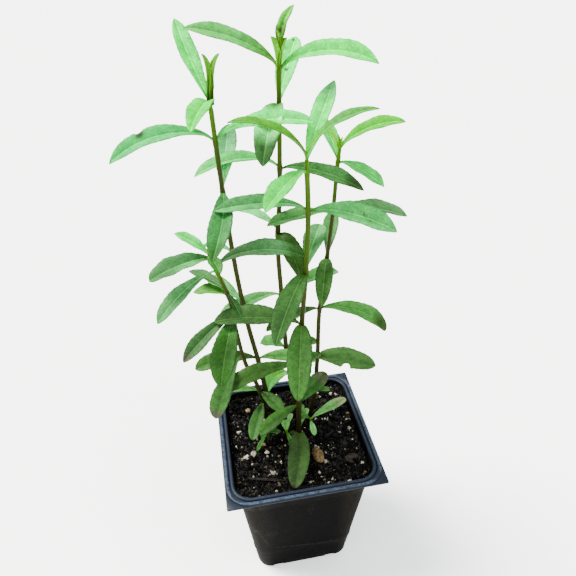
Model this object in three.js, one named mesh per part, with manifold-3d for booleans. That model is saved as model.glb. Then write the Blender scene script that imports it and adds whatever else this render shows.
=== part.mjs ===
// Potted Mexican mint marigold: five leafy stems and three small shoots in a thin square nursery pot.
// Millimetres, +Z up, origin at the middle of the pot's underside, -Y towards the front edge of the pot.

import * as THREE from "three";
import { mergeVertices } from "three/addons/utils/BufferGeometryUtils.js";
import Module from "manifold-3d";

const wasm = await Module();
wasm.setup();

// Pot: sizes are half widths of rounded squares
const potHeight = 103;
const flangeHalf = 50;
const flangeThickness = 1;
const flangeDrop = 0.8;
const bodyTopHalf = 45.8;
const bodyBottomHalf = 33;
const cornerRadius = 10;
const wall = 1.2;
const floorThickness = 1.6;
const kinkHeight = 84;
const kinkHalf = 41.6;
const ledgeHeight = 22;
const ledgeStep = 0.5;
const drainRadius = 4;
const drainSides = 16;
const drainPlace = 19;
const slotWidth = 7;
const slotHeight = 2.4;
const slotDepth = 8;
const cornerSteps = 6;
const throatDrop = 3;

// Soil: dished, with a bank at each wall given as [how far from the middle it starts, how high it rises]
const soilLevel = 92;
const soilBrim = 93;
const gap = 0.3;
const soilRings = 9;
const reliefHeight = 0.9;
const banks = { right: [8, 6], left: [18, 3.5], back: [20, 6.5], front: [24, 2.5] };
const bankEnd = 42;
const holeDepth = 12;
const holeSides = 12;
const holeGap = 0.35;

// Leaves and stems
const bladeThickness = 0.7;
const petioleThickness = 1.1;
const petioleHalfWidth = 0.65;
const tipHalfWidth = 0.4;
const foldAngle = 14;
const toothDepth = 0.05;
const stemSides = 6;
const stemSteps = 14;
const rootHeights = [-holeDepth + gap, -5, 2];
const bigLeafStations = [0, 0.1, 0.24, 0.38, 0.52, 0.66, 0.8, 0.91, 1];
const smallLeafStations = [0, 0.16, 0.38, 0.6, 0.82, 1];

// A leaf is [height of its node, heading, rise, reach, width, droop, roll, sway]. The heading is counted from
// +X towards +Y, the rise is the slope of the line from node to tip, the droop is how far the blade bends
// down along its length, and a positive roll lowers the right-hand edge, seen from the stem. The sway is in
// mm.
const stems = [
  {
    name: "stem_tall_left",
    color: 0x4f8a3c,
    radii: [1.5, 0.8],
    path: [
      [-10, 23, 91], [-15, 22, 121], [-19, 22, 150], [-24, 21, 181],
      [-28, 20, 216], [-31, 19, 255], [-33, 19, 294], [-34, 18, 318],
    ],
    leaves: [
      [316, 200, 76, 23, 4, 6, 0, 0], [316, 25, 76, 23, 4, 6, 0, 0],
      [315, 111, 46, 48, 9.5, 8, 0, -1.5], [317, -109, -7, 30, 9.5, 30, 0, 0],
      [298, -171, -4, 51, 10, 62, -30, 0], [298, -17, 12, 50, 9, 42, 25, 0],
      [272, 77, 32, 45, 12.5, 14, 0, 0], [271, -103, -21, 45, 12, 36, 0, -3],
      [235, 125, -15, 34, 9, 20, 0, 0], [235, -8, 3, 23, 8, 24, 0, 0],
      [199, 124, 6, 35, 9, 20, -20, 0], [198, -10, -20, 22, 9, 30, 20, 0],
      [152, 178, -3, 41, 9, 42, -20, 0], [152, -16, 2, 38, 9, 30, 20, 0],
      [117, 45, 8, 25, 9, 60, 0, -4],
    ],
  },
  {
    name: "stem_tall_middle",
    color: 0x5c9a45,
    radii: [1.5, 0.8],
    path: [
      [6, 19, 91], [3, 21, 125], [0, 23, 156], [-2, 25, 201], [-3, 26, 235],
      [-1, 27, 262], [0, 28, 290], [1, 30, 326], [2, 30, 342],
    ],
    leaves: [
      [340, 30, 60, 17, 6.5, 20, 0, -1.5], [340, 205, 74, 9, 3, 10, 0, 0],
      [330, 190, 74, 13, 4, 6, 0, 0], [330, 0, 70, 13, 4, 6, 0, 0],
      [327, 177, 25, 48, 8.5, 36, -42, 0], [326, -15, 5, 48, 10, 64, 20, 0],
      [310, -112, -26, 41, 11, 32, 0, 0], [310, 66, 35, 47, 12.5, 8, 0, 0],
      [279, 180, 0, 45, 9, 60, -8, 0], [278, -24, -9, 46, 11, 50, 25, 0],
      [243, 128, 3, 40, 10, 24, 0, 0], [239, -73, -38, 30, 12, 40, 0, 0],
      [199, 172, -31, 50, 10, 40, -20, 0], [198, 16, 11, 43, 10, 20, 0, 0],
      [157, 150, 6, 18, 10, 30, 0, 0], [156, 10, 2, 22, 8, 30, 20, 0],
    ],
  },
  {
    name: "stem_front",
    color: 0x4a8038,
    radii: [1.6, 0.8],
    path: [
      [4, 4, 91], [4, 3, 125], [4, 2, 159], [6, 1, 195],
      [8, 0, 229], [9, -1, 262], [8, -2, 293],
    ],
    leaves: [
      [293, 178, 29, 41, 8, 60, -10, 0], [293, -8, 35, 40, 8, 60, 12, 0],
      [291, 50, 49, 43, 11, 5, 0, 0], [287, -132, -9, 37, 11.5, 30, 0, 0],
      [266, 180, 6, 47, 11, 28, -20, 0], [265, -27, -6, 45, 13, 34, 28, 0],
      [228, -121, -25, 45, 13.5, 22, 0, 0.5], [230, 66, 10, 43, 11, 16, 0, 0],
      [192, 173, 8, 51, 13, 28, -16, 0], [192, -104, -21, 47, 14.5, 38, 0, 0],
      [159, -174, -8, 48, 12.5, 44, -12, 0], [159, 30, 0, 18, 8, 20, 0, 0],
      [124, -150, -8, 34, 12, 30, -20, 0], [125, 25, 28, 31, 12, 30, 20, 0],
      [96, -101, 1.5, 45, 14.5, 24, 0, -1.5],
    ],
  },
  {
    name: "stem_right",
    color: 0x4a8a3a,
    radii: [1.4, 0.7],
    path: [
      [16, 22, 91], [19, 22, 114], [21, 23, 146], [22, 24, 183],
      [26, 24, 222], [29, 25, 250], [31, 26, 278], [32, 26, 287],
    ],
    leaves: [
      [286, 150, 84, 9, 3, 4, 0, 0], [286, -30, 80, 8, 3, 4, 0, 0],
      [285, -15, 27, 37, 8, 55, 15, 0], [284, 140, 60, 17, 5, 20, 0, 0],
      [280, 95, 33, 31, 8.5, 14, 0, 0], [280, -42, -17, 28, 9, 12, 10, 0],
      [252, -22, 0, 41, 10, 26, 15, 0], [251, -172, -2, 39, 9, 26, -10, 0],
      [222, 70, 22, 39, 10, 14, 0, 0], [221, -108, -12, 38, 11.5, 34, 0, 0],
      [185, -162, -4, 38, 10, 30, -10, 0], [185, -30, -8, 43, 11, 50, 20, 0],
      [146, -22, -2, 39, 14, 6, 18, 0], [146, 162, -5, 22, 9, 26, 0, 0],
      [115, 182, 0, 9, 4.5, 20, 0, 0], [115, -5, 2, 11, 5, 20, 0, 0],
      [117, 50, 22, 13, 6, 20, 0, 0],
    ],
  },
  {
    name: "stem_short_left",
    color: 0x46763a,
    radii: [1.4, 0.8],
    path: [
      [-15.5, 23.5, 91], [-18, 22, 115], [-22, 19, 135], [-28, 17, 155],
      [-32, 14, 185], [-34, 12, 208], [-39, 10, 228], [-43, 9, 241],
    ],
    leaves: [
      [240, 163, 38, 22, 7, 24, -20, 0], [240, -76, 2, 18, 8, 30, 0, 0],
      [238, -163, -5, 32, 12, 30, -14, 0], [231, -9, 7, 50, 12, 66, 20, 0],
      [230, -151, -23, 42, 10, 40, -20, 0],
      [215, 132, 6, 30, 8, 20, 0, 0], [214, -72, -16, 20, 4.5, 20, 0, 0],
      [212, 152, -2, 21, 7, 20, 0, 0],
      [196, -149, -21, 39, 10, 30, -20, 0], [194, -108, -17, 45, 15, 38, 0, 0],
      [163, -120, -20, 44, 12.5, 30, 0, 0],
      [124, 174, 8, 21, 6, 30, -10, 0], [123, -62, 2, 25, 10.5, 30, 0, 0],
      [111, -111, -3, 32, 11, 30, 0, 0],
    ],
  },
  {
    name: "shoot_right",
    color: 0x63a352,
    radii: [0.8, 0.7],
    path: [[14, 13, 91], [14, 12, 96], [14, 11, 101]],
    leaves: [
      [99, 18, 11, 30, 7.5, 10, 10, 0], [98, -90, -4, 13, 4.5, 20, 0, 0],
      [99, 160, 30, 8, 4, 20, 0, 0],
    ],
  },
  {
    name: "shoot_middle",
    color: 0x63a352,
    radii: [0.8, 0.7],
    path: [[-4, 4, 91], [-4, 4, 96], [-5, 4, 101]],
    leaves: [
      [99, 110, 30, 9, 6, 20, 0, 0], [98, 40, 10, 7, 4.5, 20, 0, 0],
      [98, -115, -10, 10, 4.5, 20, 0, 0],
    ],
  },
  {
    name: "shoot_left",
    color: 0x63a352,
    radii: [0.8, 0.7],
    path: [[-17, 7, 91], [-17, 7, 96], [-18, 6, 100]],
    leaves: [
      [98, -105, -12, 15, 3.5, 24, 0, 0], [98, -20, 4, 9, 4, 20, 0, 0],
      [98, 100, 24, 7, 4.5, 20, 0, 0],
    ],
  },
];

// A loose piece's levels from its underside to its crown: [share of its plan size, share of its thickness]
const looseLevels = [[0.78, 0], [1, 0.4], [0.72, 0.86]];
const looseSides = 10;
const slopeSpan = 3;

// Loose pieces on the soil: [name, x, y, length, width, thickness, turn, colour]
const loosePieces = [
  ["pebble_tan", 12.5, -16.5, 14, 7.2, 5, 99, 0xa08a66],
  ["bark_flat", 34, -25, 10, 7, 1.6, -30, 0x3a2a1c],
  ["bark_strip", -24, -28, 24, 3, 1.8, -8, 0x4a3a28],
  ["perlite_lump", -29, -7, 5, 4.2, 3.2, 60, 0xd8d4c6],
];

const degrees = THREE.MathUtils.degToRad;

function geometryFrom(points, triangles) {
  const geometry = new THREE.BufferGeometry();
  geometry.setAttribute("position", new THREE.Float32BufferAttribute(points.flat(), 3));
  geometry.setIndex(triangles.flat());
  return geometry;
}

function toManifold(geometry) {
  geometry.deleteAttribute("normal");
  geometry.deleteAttribute("uv");
  const merged = mergeVertices(geometry, 1e-5);
  return new wasm.Manifold(new wasm.Mesh({
    numProp: 3,
    vertProperties: new Float32Array(merged.attributes.position.array),
    triVerts: new Uint32Array(merged.index.array),
  }));
}

function toGeometry(manifold) {
  const mesh = manifold.getMesh();
  const geometry = new THREE.BufferGeometry();
  geometry.setAttribute("position", new THREE.BufferAttribute(new Float32Array(mesh.vertProperties), 3));
  geometry.setIndex(new THREE.BufferAttribute(new Uint32Array(mesh.triVerts), 1));
  return geometry;
}

// A closed skin over rings that hold the same number of points, with a fan at each end.
function skin(rings, first, last) {
  const count = rings[0].length;
  const points = [first, ...rings.flat(), last];
  const triangles = [];
  for (let side = 0; side < count; side += 1) {
    const next = (side + 1) % count;
    triangles.push([0, 1 + next, 1 + side]);
    for (let ring = 0; ring + 1 < rings.length; ring += 1) {
      const low = 1 + ring * count;
      const high = low + count;
      triangles.push([low + side, low + next, high + next]);
      triangles.push([low + side, high + next, high + side]);
    }
    const top = 1 + (rings.length - 1) * count;
    triangles.push([points.length - 1, top + side, top + next]);
  }
  return geometryFrom(points, triangles);
}

// A ring of points round a square with round corners.
function roundedSquare(half, radius, height, steps) {
  const points = [];
  const corners = [[1, 1], [-1, 1], [-1, -1], [1, -1]];
  corners.forEach(([sx, sy], corner) => {
    for (let step = 0; step <= steps; step += 1) {
      const angle = (corner + step / steps) * Math.PI / 2;
      const x = sx * (half - radius) + radius * Math.cos(angle);
      const y = sy * (half - radius) + radius * Math.sin(angle);
      points.push([x, y, typeof height === "function" ? height(x, y) : height]);
    }
  });
  return points;
}

// Half width of the pot's outside at a height, straight between the foot, the kink and the flange.
function bodyHalf(height) {
  if (height < kinkHeight) {
    return THREE.MathUtils.mapLinear(height, 0, kinkHeight, bodyBottomHalf, kinkHalf);
  }
  return THREE.MathUtils.mapLinear(height, kinkHeight, potHeight - throatDrop, kinkHalf, bodyTopHalf);
}

// The pot's section runs up its outside, over the flange and the two beads of the rim, and down its inside:
// [half width, corner radius, height]
function makePot() {
  const flangeTop = potHeight - flangeDrop;
  const flangeBottom = flangeTop - flangeThickness;
  const outside = [
    [bodyBottomHalf - 1.2, cornerRadius - 1, 0],
    [bodyHalf(1.2), cornerRadius, 1.2],
    [bodyHalf(ledgeHeight), cornerRadius, ledgeHeight],
    [bodyHalf(ledgeHeight) + ledgeStep, cornerRadius, ledgeHeight + ledgeStep],
    [kinkHalf, cornerRadius, kinkHeight],
    [bodyTopHalf, cornerRadius, flangeBottom],
    [flangeHalf, 1, flangeBottom],
    [flangeHalf, 1, flangeTop],
    [flangeHalf - 0.4, 15, flangeTop],
    [flangeHalf - 0.9, 14.6, potHeight - 0.3],
    [flangeHalf - 1.7, 14, potHeight],
    [flangeHalf - 2.5, 13.4, potHeight - 0.4],
    [flangeHalf - 3.1, 13, potHeight - 1.2],
    [flangeHalf - 3.7, 12.6, potHeight - 1.2],
    [flangeHalf - 4.3, 12.2, potHeight - 0.4],
    [flangeHalf - 5, 11.6, potHeight],
    [flangeHalf - 5.8, 11, potHeight - 0.5],
    [bodyTopHalf - wall, cornerRadius - wall, potHeight - throatDrop],
    [kinkHalf - wall, cornerRadius - wall, kinkHeight],
    [bodyHalf(ledgeHeight) - wall + ledgeStep, cornerRadius - wall, ledgeHeight + ledgeStep],
    [bodyHalf(ledgeHeight) - wall, cornerRadius - wall, ledgeHeight],
    [bodyHalf(floorThickness) - wall, cornerRadius - wall, floorThickness],
  ].map(([half, radius, height]) => roundedSquare(half, radius, height, cornerSteps));
  let pot = toManifold(skin(outside, [0, 0, 0], [0, 0, floorThickness]));

  const drain = new THREE.CylinderGeometry(drainRadius, drainRadius, 4 * floorThickness, drainSides);
  drain.rotateX(Math.PI / 2);
  for (const [sx, sy] of [[1, 1], [-1, 1], [-1, -1], [1, -1]]) {
    const hole = drain.clone();
    hole.translate(sx * drainPlace, sy * drainPlace, 0);
    pot = pot.subtract(toManifold(hole));
  }
  for (const turn of [0, 90, 180, 270]) {
    for (const side of [-1, 1]) {
      const slot = new THREE.BoxGeometry(slotWidth, slotDepth, 2 * slotHeight);
      slot.translate(side * drainPlace, -bodyBottomHalf, 0);
      slot.rotateZ(degrees(turn));
      pot = pot.subtract(toManifold(slot));
    }
  }
  return toGeometry(pot);
}

// Height of the soil's surface: soft lumps on a bed that rises to a bank along each wall.
function soilHeight(x, y) {
  const rise = (distance, [start, height]) => height * THREE.MathUtils.smoothstep(distance, start, bankEnd);
  const across = Math.max(rise(x, banks.right), rise(-x, banks.left));
  const along = Math.max(rise(y, banks.back), rise(-y, banks.front));
  const bank = Math.pow(across ** 4 + along ** 4, 0.25);
  const lumps = 0.6 * Math.sin(x * 0.21 + 1.2) * Math.cos(y * 0.19 - 0.4)
    + 0.5 * Math.sin(x * 0.11 - y * 0.23 + 2.1) + 0.3 * Math.cos(x * 0.26 + y * 0.2);
  return soilLevel + bank + reliefHeight * lumps;
}

function makeSoil() {
  const inset = wall + gap;
  const floor = floorThickness + gap;
  const radius = cornerRadius - inset;
  const topHalf = bodyHalf(soilBrim) - inset;
  const rings = [
    [bodyHalf(floor) - inset, floor],
    [bodyHalf(ledgeHeight) - inset, ledgeHeight],
    [kinkHalf - inset, kinkHeight],
  ].map(([half, height]) => roundedSquare(half, radius, height, cornerSteps));
  for (let ring = soilRings; ring > 0; ring -= 1) {
    const share = ring / soilRings;
    rings.push(roundedSquare(topHalf * share, radius * share, soilHeight, cornerSteps));
  }
  let soil = toManifold(skin(rings, [0, 0, floor], [0, 0, soilHeight(0, 0)]));
  for (const stem of stems) {
    const [x, y] = stem.path[0];
    const radiusOfHole = stem.radii[0] + holeGap;
    const hole = new THREE.CylinderGeometry(radiusOfHole, radiusOfHole, 2 * holeDepth, holeSides);
    hole.rotateX(Math.PI / 2);
    hole.translate(x, y, soilLevel);
    soil = soil.subtract(toManifold(hole));
  }
  return toGeometry(soil);
}

// A stem: round, thinner towards the top, straight down in its hole below the soil's surface.
function stemCurve(stem) {
  const [x, y] = stem.path[0];
  const root = rootHeights.map((height) => new THREE.Vector3(x, y, soilLevel + height));
  const rest = stem.path.slice(1).map((point) => new THREE.Vector3(...point));
  return new THREE.CatmullRomCurve3([...root, ...rest]);
}

function stemSkin(stem, curve) {
  const rings = [];
  for (let step = 0; step <= stemSteps; step += 1) {
    const share = step / stemSteps;
    const centre = curve.getPointAt(share);
    const tangent = curve.getTangentAt(share);
    const side = new THREE.Vector3(0, 1, 0).cross(tangent).normalize();
    const front = tangent.clone().cross(side);
    const radius = THREE.MathUtils.lerp(stem.radii[0], stem.radii[1], share);
    const ring = [];
    for (let corner = 0; corner < stemSides; corner += 1) {
      const angle = corner / stemSides * Math.PI * 2;
      ring.push(centre.clone()
        .addScaledVector(side, radius * Math.cos(angle))
        .addScaledVector(front, radius * Math.sin(angle)).toArray());
    }
    rings.push(ring);
  }
  return skin(rings, curve.getPointAt(0).toArray(), curve.getPointAt(1).toArray());
}

// Half width of a blade along its length: a narrow foot, widest past the middle, a short point.
function bladeOutline(share, width, tooth) {
  const outline = Math.pow(share, 0.95) * Math.pow(1 - share, 0.75) / 0.311;
  const smallest = THREE.MathUtils.lerp(petioleHalfWidth, tipHalfWidth, share);
  return Math.max(smallest, width / 2 * outline * (1 + tooth * toothDepth));
}

function leafSkin(curve, leaf) {
  const [nodeHeight, heading, rise, reach, width, droop, roll, sway] = leaf;
  const base = pointAtHeight(curve, nodeHeight);
  const stations = reach < 20 ? smallLeafStations : bigLeafStations;
  const bend = degrees(Math.max(droop, 0.5));
  const firstSlope = degrees(rise) + bend / 2;
  const arcLength = reach * (bend / 2) / Math.sin(bend / 2);
  const along = new THREE.Vector3(Math.cos(degrees(heading)), Math.sin(degrees(heading)), 0);
  const side = new THREE.Vector3(along.y, -along.x, 0);
  const vertical = new THREE.Vector3(0, 0, 1);
  const rings = stations.map((share, index) => {
    const slope = firstSlope - bend * share;
    const out = arcLength * (Math.sin(firstSlope) - Math.sin(slope)) / bend;
    const lift = arcLength * (Math.cos(slope) - Math.cos(firstSlope)) / bend;
    const centre = base.clone()
      .addScaledVector(along, out)
      .addScaledVector(vertical, lift)
      .addScaledVector(side, sway * Math.sin(Math.PI * share));
    const tangent = along.clone().multiplyScalar(Math.cos(slope)).addScaledVector(vertical, Math.sin(slope));
    const level = side.clone().cross(tangent);
    const across = side.clone().multiplyScalar(Math.cos(degrees(roll)))
      .addScaledVector(level, -Math.sin(degrees(roll)));
    const normal = across.clone().cross(tangent);
    const half = bladeOutline(share, width, index % 2 === 0 ? 1 : -1);
    const fold = degrees(foldAngle);
    const thickness = THREE.MathUtils.lerp(petioleThickness, bladeThickness, Math.min(1, share * 4)) / 2;
    const place = (offset, face) => centre.clone()
      .addScaledVector(across, offset * Math.cos(fold))
      .addScaledVector(normal, Math.abs(offset) * Math.sin(fold) + face * thickness)
      .toArray();
    return [place(-half, 1), place(-half, -1), place(0, -1), place(half, -1), place(half, 1), place(0, 1)];
  });
  return leafSkinFromRings(rings);
}

// Joins the six-pointed sections of a blade, with both faces split alike, and closes both ends.
function leafSkinFromRings(rings) {
  const triangles = [];
  const quads = [[0, 1], [1, 2], [3, 2], [3, 4], [4, 5], [0, 5]];
  const flipped = [true, true, false, true, true, false];
  for (let ring = 0; ring + 1 < rings.length; ring += 1) {
    const low = ring * 6;
    const high = low + 6;
    quads.forEach(([a, b], index) => {
      const first = [low + a, low + b, high + b];
      const second = [low + a, high + b, high + a];
      for (const triangle of [first, second]) {
        triangles.push(flipped[index] ? triangle.reverse() : triangle);
      }
    });
  }
  const end = (rings.length - 1) * 6;
  for (const [start, reverse] of [[0, false], [end, true]]) {
    for (const corners of [[0, 1, 2], [0, 2, 5], [5, 2, 3], [5, 3, 4]]) {
      const triangle = corners.map((corner) => start + corner);
      triangles.push(reverse ? triangle.reverse() : triangle);
    }
  }
  return geometryFrom(rings.flat(), triangles);
}

function pointAtHeight(curve, height) {
  let low = 0;
  let high = 1;
  for (let step = 0; step < 40; step += 1) {
    const middle = (low + high) / 2;
    if (curve.getPointAt(middle).z < height) {
      low = middle;
    } else {
      high = middle;
    }
  }
  return curve.getPointAt(low);
}

function makeLeafyStem(stem) {
  const curve = stemCurve(stem);
  let plant = toManifold(stemSkin(stem, curve));
  for (const leaf of stem.leaves) {
    plant = plant.add(toManifold(leafSkin(curve, leaf)));
  }
  return toGeometry(plant);
}

// Height of the soil's mesh under a point.
function soilUnder(soil, x, y) {
  const down = new THREE.Raycaster(new THREE.Vector3(x, y, potHeight), new THREE.Vector3(0, 0, -1));
  return down.intersectObject(soil)[0].point.z;
}

// A lump with a flat underside that lies along the slope of the soil and rests on its highest point.
function makeLoosePiece(soil, x, y, length, width, thickness, turn) {
  const cos = Math.cos(degrees(turn));
  const sin = Math.sin(degrees(turn));
  const slopeX = (soilUnder(soil, x + slopeSpan, y) - soilUnder(soil, x - slopeSpan, y)) / (2 * slopeSpan);
  const slopeY = (soilUnder(soil, x, y + slopeSpan) - soilUnder(soil, x, y - slopeSpan)) / (2 * slopeSpan);
  const tilt = (px, py) => slopeX * (px - x) + slopeY * (py - y);
  const outline = (share, height) => {
    const ring = [];
    for (let corner = 0; corner < looseSides; corner += 1) {
      const angle = corner / looseSides * Math.PI * 2;
      const u = share * length / 2 * Math.cos(angle);
      const v = share * width / 2 * Math.sin(angle) * (1 + 0.12 * Math.sin(3 * angle));
      const px = x + u * cos - v * sin;
      const py = y + u * sin + v * cos;
      ring.push([px, py, height + tilt(px, py)]);
    }
    return ring;
  };
  const underside = looseLevels[0][0];
  const probes = [0, 0.2, 0.4, 0.6, 0.8, 1].flatMap((share) => outline(underside * share, 0));
  const seat = gap + Math.max(...probes.map(([px, py, lift]) => soilUnder(soil, px, py) - lift));
  const rings = looseLevels.map(([share, lift]) => outline(share, seat + lift * thickness));
  return skin(rings, [x, y, seat], [x, y, seat + thickness]);
}

const plant = new THREE.Group();

function addPiece(name, geometry, color, roughness) {
  const material = new THREE.MeshStandardMaterial({ color, roughness, metalness: 0 });
  const mesh = new THREE.Mesh(geometry, material);
  mesh.name = name;
  plant.add(mesh);
  return mesh;
}

addPiece("pot", makePot(), 0x23211f, 0.55);
const soil = addPiece("soil", makeSoil(), 0x1c1814, 0.95);
for (const stem of stems) {
  addPiece(stem.name, makeLeafyStem(stem), stem.color, 0.6);
}
for (const [name, x, y, length, width, thickness, turn, color] of loosePieces) {
  addPiece(name, makeLoosePiece(soil, x, y, length, width, thickness, turn), color, 0.85);
}

export default plant;
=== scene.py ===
"""Mexican mint marigold in a thin square nursery pot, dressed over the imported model.

Metres, +Z up, origin at the middle of the pot's underside. Sizes are written in millimetres and become
metres where a mesh is made. The front edge of the pot is towards -Y.
"""

import math
import random
from collections import namedtuple

import bmesh
import bpy
import numpy as np
from mathutils import Matrix, Vector, noise


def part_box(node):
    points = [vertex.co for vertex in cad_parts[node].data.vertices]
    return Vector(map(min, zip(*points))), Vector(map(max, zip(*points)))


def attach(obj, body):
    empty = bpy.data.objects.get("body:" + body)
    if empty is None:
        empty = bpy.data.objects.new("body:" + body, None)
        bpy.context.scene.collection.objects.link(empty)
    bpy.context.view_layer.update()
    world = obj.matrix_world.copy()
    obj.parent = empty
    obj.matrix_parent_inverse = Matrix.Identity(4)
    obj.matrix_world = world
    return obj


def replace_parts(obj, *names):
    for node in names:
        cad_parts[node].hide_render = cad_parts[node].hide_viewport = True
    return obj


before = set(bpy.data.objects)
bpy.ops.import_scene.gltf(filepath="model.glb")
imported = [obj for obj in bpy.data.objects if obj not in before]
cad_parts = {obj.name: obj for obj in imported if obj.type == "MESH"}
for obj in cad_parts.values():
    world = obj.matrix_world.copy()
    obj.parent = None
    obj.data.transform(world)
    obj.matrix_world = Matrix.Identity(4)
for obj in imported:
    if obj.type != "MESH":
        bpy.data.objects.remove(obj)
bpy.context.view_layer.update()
MM = 0.001


# Camera
# It stands in front of the pot, a little to the left and well above the rim, and looks down on it.

camera_place = (-42, -233, 379)
camera_heading = math.radians(9.74)
camera_dip = math.radians(33.84)
camera_roll = math.radians(-1.29)

ahead = Vector((
    math.sin(camera_heading) * math.cos(camera_dip),
    math.cos(camera_heading) * math.cos(camera_dip),
    -math.sin(camera_dip),
))
level = Vector((math.cos(camera_heading), -math.sin(camera_heading), 0))
above = level.cross(ahead)
rightwards = level * math.cos(camera_roll) + above * math.sin(camera_roll)
upwards = above * math.cos(camera_roll) - level * math.sin(camera_roll)
camera = bpy.data.objects.new("camera", bpy.data.cameras.new("camera"))
camera.data.lens = 32.24
camera.data.clip_start = 0.01
turned = Matrix((rightwards, upwards, -ahead)).transposed().to_4x4()
camera.matrix_world = Matrix.Translation(Vector(camera_place) * MM) @ turned
bpy.context.scene.collection.objects.link(camera)
bpy.context.scene.camera = camera


# Studio
# A pale floor that reaches past the view, a white surround and two soft lamps, the stronger one high up on
# the left, a little behind the pot. Value and Finish, which make the floor's finish, make every other too.


def display(red, green, blue):
    """A colour given as 0 to 255 display values, in the linear values that a shader takes."""
    linear = [((c / 255 + 0.055) / 1.055) ** 2.4 if c > 10 else c / 255 / 12.92 for c in (red, green, blue)]
    return (*linear, 1.0)


class Value:
    """A node's result, on which Python's arithmetic adds Math nodes."""

    def __init__(self, finish, socket):
        self.finish = finish
        self.socket = socket

    def __add__(self, other):
        return self.finish.math("ADD", self, other)

    def __sub__(self, other):
        return self.finish.math("SUBTRACT", self, other)

    def __rsub__(self, other):
        return self.finish.math("SUBTRACT", other, self)

    def __mul__(self, other):
        return self.finish.math("MULTIPLY", self, other)

    def __truediv__(self, other):
        return self.finish.math("DIVIDE", self, other)

    def __abs__(self):
        return self.finish.math("ABSOLUTE", self)

    __radd__ = __add__
    __rmul__ = __mul__


class Finish:
    """A material made of nodes."""

    def __init__(self, name):
        self.material = bpy.data.materials.new(name)
        self.material.use_nodes = True
        self.tree = self.material.node_tree
        self.tree.nodes.clear()

    def node(self, kind, settings, values, result=0):
        """Adds a node, with its settings first and its sockets' values or links after them."""
        made = self.tree.nodes.new("ShaderNode" + kind)
        for name, setting in settings.items():
            if name == "stops":
                set_stops(made.color_ramp, setting)
            else:
                setattr(made, name, setting)
        for name, value in values.items():
            if isinstance(value, Value):
                self.tree.links.new(value.socket, made.inputs[name])
            else:
                made.inputs[name].default_value = value
        return Value(self, made.outputs[result]) if made.outputs else None

    def math(self, operation, *values):
        """A Math node on values and numbers."""
        return self.node("Math", {"operation": operation}, dict(enumerate(values)))

    def place(self):
        """Where a point of the piece is, in metres."""
        return self.node("TexCoord", {}, {}, "Object")

    def axis(self, vector, letter):
        """One coordinate of a vector, in millimetres where the vector is a place."""
        return self.node("SeparateXYZ", {}, {"Vector": vector}, letter) * 1000

    def drawn_out(self, share):
        """Places with their height cut to a share, so that grain on them runs in upright streaks."""
        return self.node("Mapping", {}, {"Vector": self.place(), "Scale": (1.0, 1.0, share)})

    def tint(self, part="Color"):
        """The colour painted on each point of the mesh, or its Alpha."""
        return self.node("Attribute", {"attribute_name": "tint"}, {}, part)

    def grain(self, size, detail=3, roughness=0.55, vector=None):
        """Noise from 0 to 1 whose lumps are about that many millimetres across."""
        values = {"Vector": vector or self.place(), "Scale": 1000 / size}
        return self.node("TexNoise", {}, values | {"Detail": detail, "Roughness": roughness})

    def between(self, value, start, end):
        """0 where the value is at start, 1 where it is at end, and smooth between them."""
        return self.node("MapRange", {"interpolation_type": "SMOOTHSTEP"}, {0: value, 1: start, 2: end})

    def blend(self, share, first, second, way="MIX"):
        """Colours mixed by a share from 0 to 1, through the Mix node's colour sockets, 6, 7 and result 2."""
        settings = {"data_type": "RGBA", "blend_type": way}
        return self.node("Mix", settings, {0: share, 6: first, 7: second}, 2)

    def surface(self, colour, roughness, height=None, depth=0.0, gloss=0.5):
        """Closes the material: a principled shader, with a bump that stands depth millimetres high."""
        values = {"Base Color": colour, "Roughness": roughness, "Specular IOR Level": gloss}
        if height is not None:
            bump = {"Height": height, "Distance": depth * MM, "Strength": 1.0}
            values["Normal"] = self.node("Bump", {}, bump)
        self.node("OutputMaterial", {}, {"Surface": self.node("BsdfPrincipled", {}, values)})
        return self.material


def set_stops(ramp, stops):
    """Gives a colour ramp its stops, each a place from 0 to 1 and a colour."""
    while len(ramp.elements) > 1:
        ramp.elements.remove(ramp.elements[-1])
    ramp.elements[0].position, ramp.elements[0].color = stops[0]
    for place, colour in stops[1:]:
        ramp.elements.new(place).color = colour


def new_mesh(name, points, faces, materials):
    """An object of a mesh whose points are in millimetres."""
    mesh = bpy.data.meshes.new(name)
    mesh.from_pydata((np.asarray(points, float) * MM).tolist(), [], [list(face) for face in faces])
    for material in materials:
        mesh.materials.append(material)
    mesh.shade_smooth()
    made = bpy.data.objects.new(name, mesh)
    bpy.context.scene.collection.objects.link(made)
    return made


floor_half = 9000
floor_finish = Finish("studio_floor")
floor_tone = floor_finish.blend(floor_finish.grain(40, 2), display(246, 246, 245), display(250, 250, 249))
floor_material = floor_finish.surface(floor_tone, 0.9, gloss=0.1)
floor_corners = [(x * floor_half, y * floor_half, 0) for x, y in ((-1, -1), (1, -1), (1, 1), (-1, 1))]
floor = new_mesh("studio_floor", floor_corners, [(0, 1, 2, 3)], [floor_material])

surround = bpy.data.worlds.new("surround")
surround.use_nodes = True
background = surround.node_tree.nodes["Background"]
background.inputs["Color"].default_value = (0.96, 0.98, 1.0, 1.0)
background.inputs["Strength"].default_value = 2.0
bpy.context.scene.world = surround


def soft_lamp(name, towards, width, strength, tone):
    """A wide far lamp, given by the direction it stands in and how many degrees it spans."""
    lamp = bpy.data.objects.new(name, bpy.data.lights.new(name, "SUN"))
    lamp.data.angle = math.radians(width)
    lamp.data.energy = strength
    lamp.data.color = tone
    lamp.rotation_euler = Vector(towards).to_track_quat("Z", "Y").to_euler()
    bpy.context.scene.collection.objects.link(lamp)


soft_lamp("key_lamp", (-0.55, 0.3, 1.0), 28, 14.5, (1.0, 0.99, 0.95))
soft_lamp("fill_lamp", (0.5, -0.6, 1.0), 60, 3, (0.94, 0.97, 1.0))


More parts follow.
